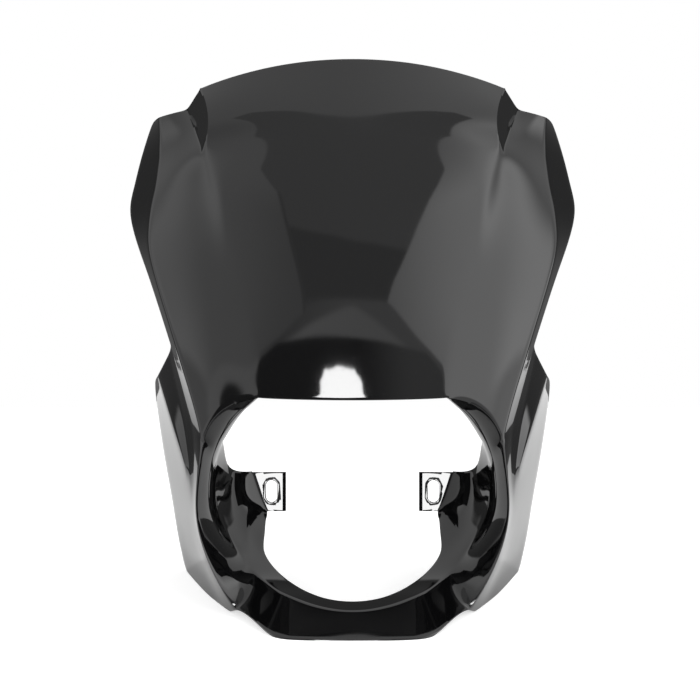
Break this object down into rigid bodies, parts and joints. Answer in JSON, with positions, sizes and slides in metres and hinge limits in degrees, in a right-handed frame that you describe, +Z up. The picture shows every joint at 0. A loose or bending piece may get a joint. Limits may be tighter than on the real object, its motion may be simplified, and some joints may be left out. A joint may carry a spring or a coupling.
{
  "type": "headlight fairing",
  "caption": "Moulded gloss black headlight fairing: domed cowl over a lamp opening, swept side wings, chin band and slotted bracket tabs.",
  "frame": {"origin": "centre of the bounding box at the floor that the fairing stands on", "axes": "+Z up as it stands on its bottom edge, -Y towards the front of the motorbike, +X to the side; symmetric about X = 0"},
  "size_m": [0.3718, 0.2226, 0.4371],
  "materials": {
    "gloss_black": "high gloss black, moulded ABS"
  },
  "bodies": {
    "root": {"fairing_shell": "gloss_black"}
  },
  "joints": []
}
